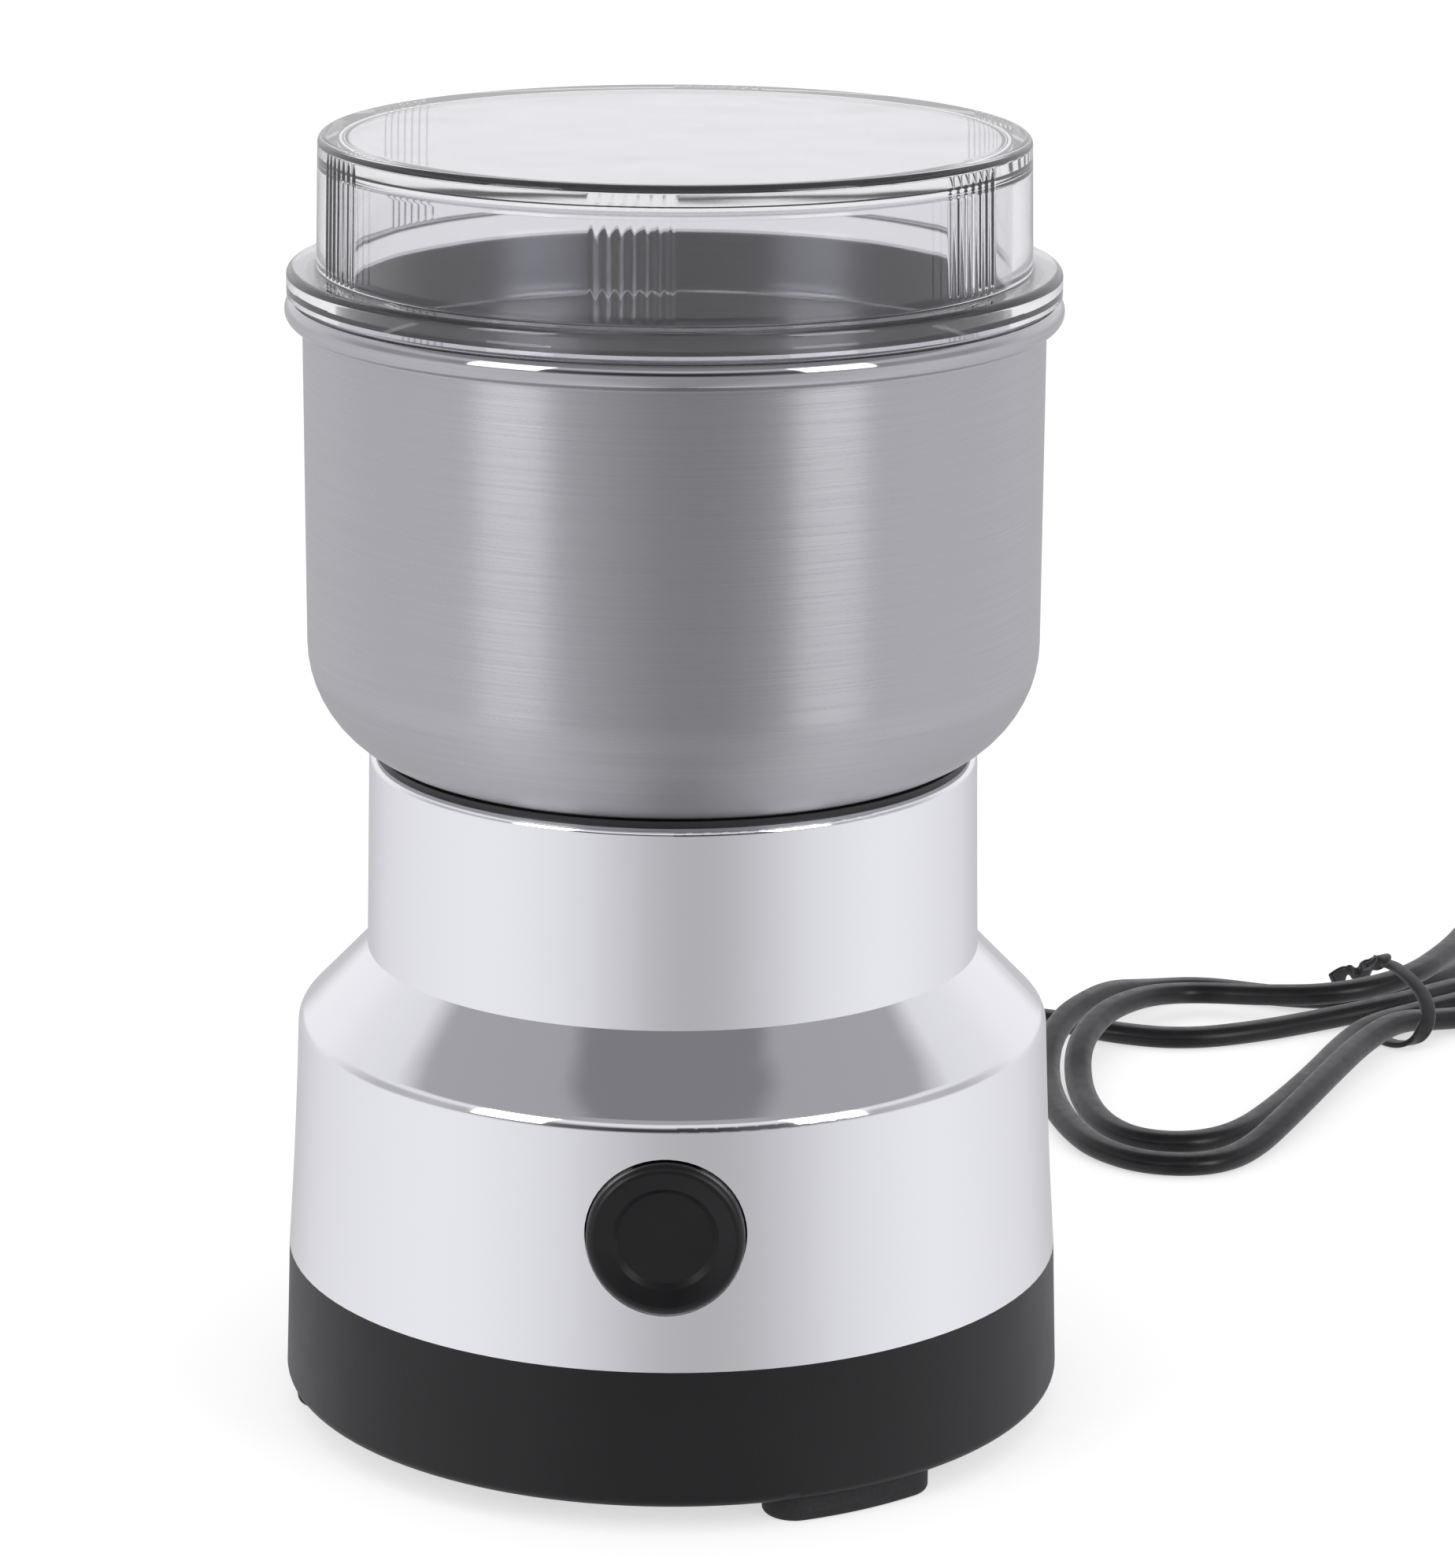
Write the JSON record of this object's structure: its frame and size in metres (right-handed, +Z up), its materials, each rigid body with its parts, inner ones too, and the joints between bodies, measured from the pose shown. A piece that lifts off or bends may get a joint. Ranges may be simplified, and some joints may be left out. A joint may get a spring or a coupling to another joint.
{
  "type": "electric spice grinder",
  "caption": "Electric spice grinder: round silver body on a black base, steel bowl with a spinning blade, clear lift-off lid, push button and a tied mains cord.",
  "frame": {"origin": "on the surface that the feet stand on, under the motor axis: bottom centre of the box without the cord", "axes": "+Z up along the motor axis, -Y the front with the push button, +Y the back where the cord leaves"},
  "size_m": [0.2356, 0.272, 0.1652],
  "materials": {
    "silver_abs": "glossy metallised silver",
    "black_plastic": "satin black",
    "button_black": "smooth black",
    "foot_rubber": "matt",
    "seal_rubber": "matt",
    "steel_bowl": "brushed, polished rim",
    "clear_plastic": "clear, glossy",
    "blade_steel": "ground",
    "hub_plastic": "satin",
    "screw_steel": "zinc plated",
    "cast_aluminium": "as cast",
    "lamination_steel": "stamped stack",
    "copper_winding": "enamelled copper wire",
    "brass_parts": "bright",
    "bronze_bush": "sintered bronze",
    "carbon": "pressed carbon",
    "shaft_steel": "ground",
    "fan_plastic": "natural nylon",
    "holder_plastic": "natural nylon",
    "switch_plastic": "moulded black",
    "plunger_plastic": "moulded red",
    "capacitor_plastic": "moulded yellow box",
    "fibre_washer": "hard fibre",
    "cord_pvc": "smooth black PVC",
    "lead_pvc": "coloured PVC",
    "tie_plastic": "black, plastic over wire",
    "pin_nickel": "nickel plated"
  },
  "bodies": {
    "housing": {"body_housing": "silver_abs", "base_cover": "black_plastic", "foot_front_right": "foot_rubber", "foot_rear_right": "foot_rubber", "foot_left": "foot_rubber", "base_screws": "screw_steel", "grinding_bowl": "steel_bowl", "bowl_gasket": "seal_rubber", "bowl_washer": "seal_rubber", "bowl_nut": "screw_steel", "shaft_seal": "seal_rubber", "upper_bracket": "cast_aluminium", "motor_bushes": "seal_rubber", "motor_screws": "screw_steel", "lower_bracket": "cast_aluminium", "stator_bolts": "screw_steel", "upper_bearing": "bronze_bush", "lower_bearing": "bronze_bush", "stator_core": "lamination_steel", "field_coils": "copper_winding", "brush_boxes": "brass_parts", "carbon_brushes": "carbon", "brush_springs": "brass_parts", "switch_holder": "holder_plastic", "holder_screws": "screw_steel", "switch_body": "switch_plastic", "switch_terminals": "brass_parts", "strain_relief": "cord_pvc", "cord_inner": "cord_pvc", "cord_clamp": "holder_plastic", "clamp_screws": "screw_steel", "suppression_capacitor": "capacitor_plastic", "lead_live": "lead_pvc", "lead_neutral": "lead_pvc", "lead_motor": "lead_pvc", "cord_lead": "cord_pvc", "cord_hank": "cord_pvc", "cord_tie": "tie_plastic", "cord_tail": "cord_pvc", "plug_body": "cord_pvc", "plug_pins": "pin_nickel"},
    "rotor": {"motor_shaft": "shaft_steel", "armature_core": "lamination_steel", "armature_winding": "copper_winding", "commutator": "brass_parts", "thrust_washers": "fibre_washer", "cooling_fan": "fan_plastic", "blade_hub": "hub_plastic", "grinding_blade": "blade_steel", "blade_nut": "shaft_steel"},
    "lid": {"clear_lid": "clear_plastic"},
    "button": {"power_button": "button_black", "button_spring": "shaft_steel"},
    "plunger": {"switch_plunger": "plunger_plastic"}
  },
  "joints": [
    {"name": "rotor_spin", "type": "hinge", "parent": "housing", "child": "rotor", "pos_m": [0, 0, 0.05], "axis": [0, 0, 1], "continuous": true},
    {"name": "lid_lift", "type": "slide", "parent": "housing", "child": "lid", "axis": [0, 0, 1], "range_m": [0, 0.05]},
    {"name": "button_press", "type": "slide", "parent": "housing", "child": "button", "axis": [0, 1, 0], "range_m": [0, 0.002], "stiffness_N_per_m": 900, "springref_m": -0.0015, "deforming": ["button_spring"]},
    {"name": "plunger_travel", "type": "slide", "parent": "housing", "child": "plunger", "axis": [0, 1, 0], "range_m": [0, 0.002]}
  ],
  "couplings": [
    {"joint": "plunger_travel", "follows": "button_press", "ratio": 1}
  ]
}
